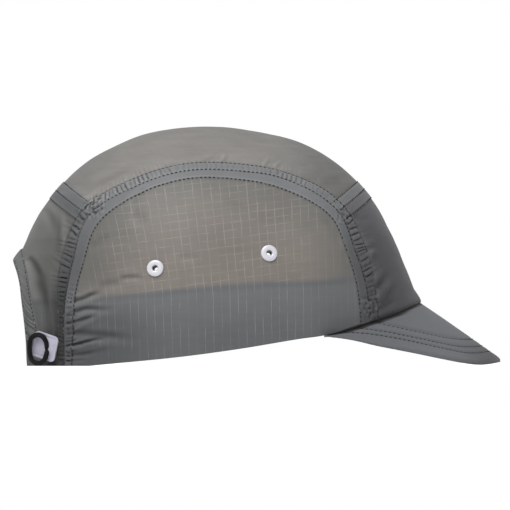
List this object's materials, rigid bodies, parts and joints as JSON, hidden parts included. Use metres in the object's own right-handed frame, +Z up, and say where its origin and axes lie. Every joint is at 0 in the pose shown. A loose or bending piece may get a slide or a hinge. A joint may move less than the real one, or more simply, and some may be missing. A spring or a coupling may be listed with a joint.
{
  "type": "running cap",
  "caption": "Soft light running cap of panelled ripstop cloth with a curved peak, side eyelets and an arched opening over an elastic hem at the back.",
  "frame": {"origin": "middle of the bounding box at its bottom, on the surface that the cap rests on", "axes": "+X forward to the peak, +Y to the wearer's left, +Z up out of the crown"},
  "size_m": [0.2684, 0.1658, 0.1317],
  "materials": {
    "ripstop": "thin grey ripstop nylon, matte, slightly see-through",
    "front_cloth": "backed darker grey ripstop nylon, matte",
    "peak_cloth": "stitched grey nylon over a soft board, matte",
    "lining": "soft grey knit tape and sweatband, matte",
    "eyelet_enamel": "white enamel, satin",
    "tab_white": "white film with a lavender tint, matte",
    "elastic_cord": "black braided shock cord, matte"
  },
  "bodies": {
    "root": {"front_panel": "front_cloth", "top_panel": "ripstop", "back_panel": "ripstop", "side_panel_right": "ripstop", "side_panel_left": "ripstop", "back_hem": "ripstop", "peak": "peak_cloth", "sweatband": "lining", "seam_tape_right": "lining", "seam_tape_left": "lining", "seam_tape_front": "lining", "seam_tape_back": "lining", "eyelet_right_rear": "eyelet_enamel", "eyelet_right_front": "eyelet_enamel", "eyelet_left_rear": "eyelet_enamel", "eyelet_left_front": "eyelet_enamel", "cord_tab": "tab_white", "cord_loop": "elastic_cord"}
  },
  "joints": []
}
